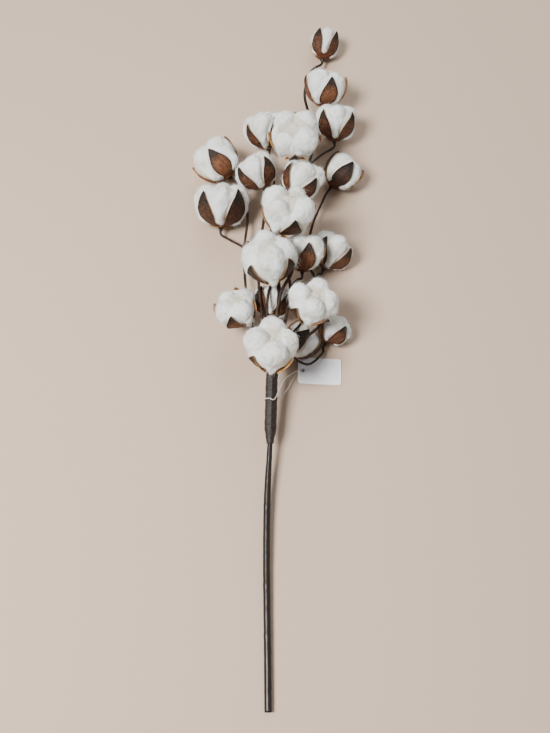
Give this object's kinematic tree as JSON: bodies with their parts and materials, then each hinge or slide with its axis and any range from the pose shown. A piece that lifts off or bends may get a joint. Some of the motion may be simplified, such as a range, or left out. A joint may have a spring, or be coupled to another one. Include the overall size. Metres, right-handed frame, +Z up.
{
  "type": "cotton stem bunch",
  "caption": "Tall decorative cotton stem lying on its side: dark branches bound into one bare stem, tipped with open bolls of white cotton in brown husks, with a blank swing tag",
  "frame": {"origin": "Middle of the bunch's bounding box in plan, on the surface it lies on (z = 0)", "axes": "+Y runs along the stem towards the tip boll, the cut end is at -Y, +X is to the right seen from above, +Z is up"},
  "size_m": [0.1948, 0.7929, 0.1123],
  "materials": {
    "cotton": "loose fluffy white cotton fibre, slightly cream in the folds",
    "husk": "dry papery seed husk, mottled reddish brown outside with dark edges, tan inside",
    "branch": "dark brown dry bark, lightly ridged",
    "main_stem": "glossy near-black brown sleeve with faint nodes",
    "stem_wrap": "dark brown crepe tape wound in a spiral",
    "tag_card": "blank white coated card",
    "nylon_loop": "clear-white nylon fastener"
  },
  "bodies": {
    "root": {"main_stem": "main_stem", "stem_wrap": "stem_wrap", "branch_1": "branch", "branch_2": "branch", "branch_3": "branch", "branch_4": "branch", "branch_5": "branch", "branch_6": "branch", "branch_7": "branch", "husk_01": "husk", "husk_02": "husk", "husk_03": "husk", "husk_04": "husk", "husk_05": "husk", "husk_06": "husk", "husk_07": "husk", "husk_08": "husk", "husk_09": "husk", "husk_10": "husk", "husk_11": "husk", "husk_12": "husk", "husk_13": "husk", "husk_14": "husk", "husk_15": "husk", "husk_16": "husk", "husk_17": "husk", "husk_18": "husk", "husk_19": "husk", "husk_20": "husk", "cotton_01": "cotton", "cotton_02": "cotton", "cotton_03": "cotton", "cotton_04": "cotton", "cotton_05": "cotton", "cotton_06": "cotton", "cotton_07": "cotton", "cotton_08": "cotton", "cotton_09": "cotton", "cotton_10": "cotton", "cotton_11": "cotton", "cotton_12": "cotton", "cotton_13": "cotton", "cotton_14": "cotton", "cotton_15": "cotton", "cotton_16": "cotton", "cotton_17": "cotton", "cotton_18": "cotton", "cotton_19": "cotton", "cotton_20": "cotton", "swing_tag": "tag_card", "tag_loop": "nylon_loop"}
  },
  "joints": []
}
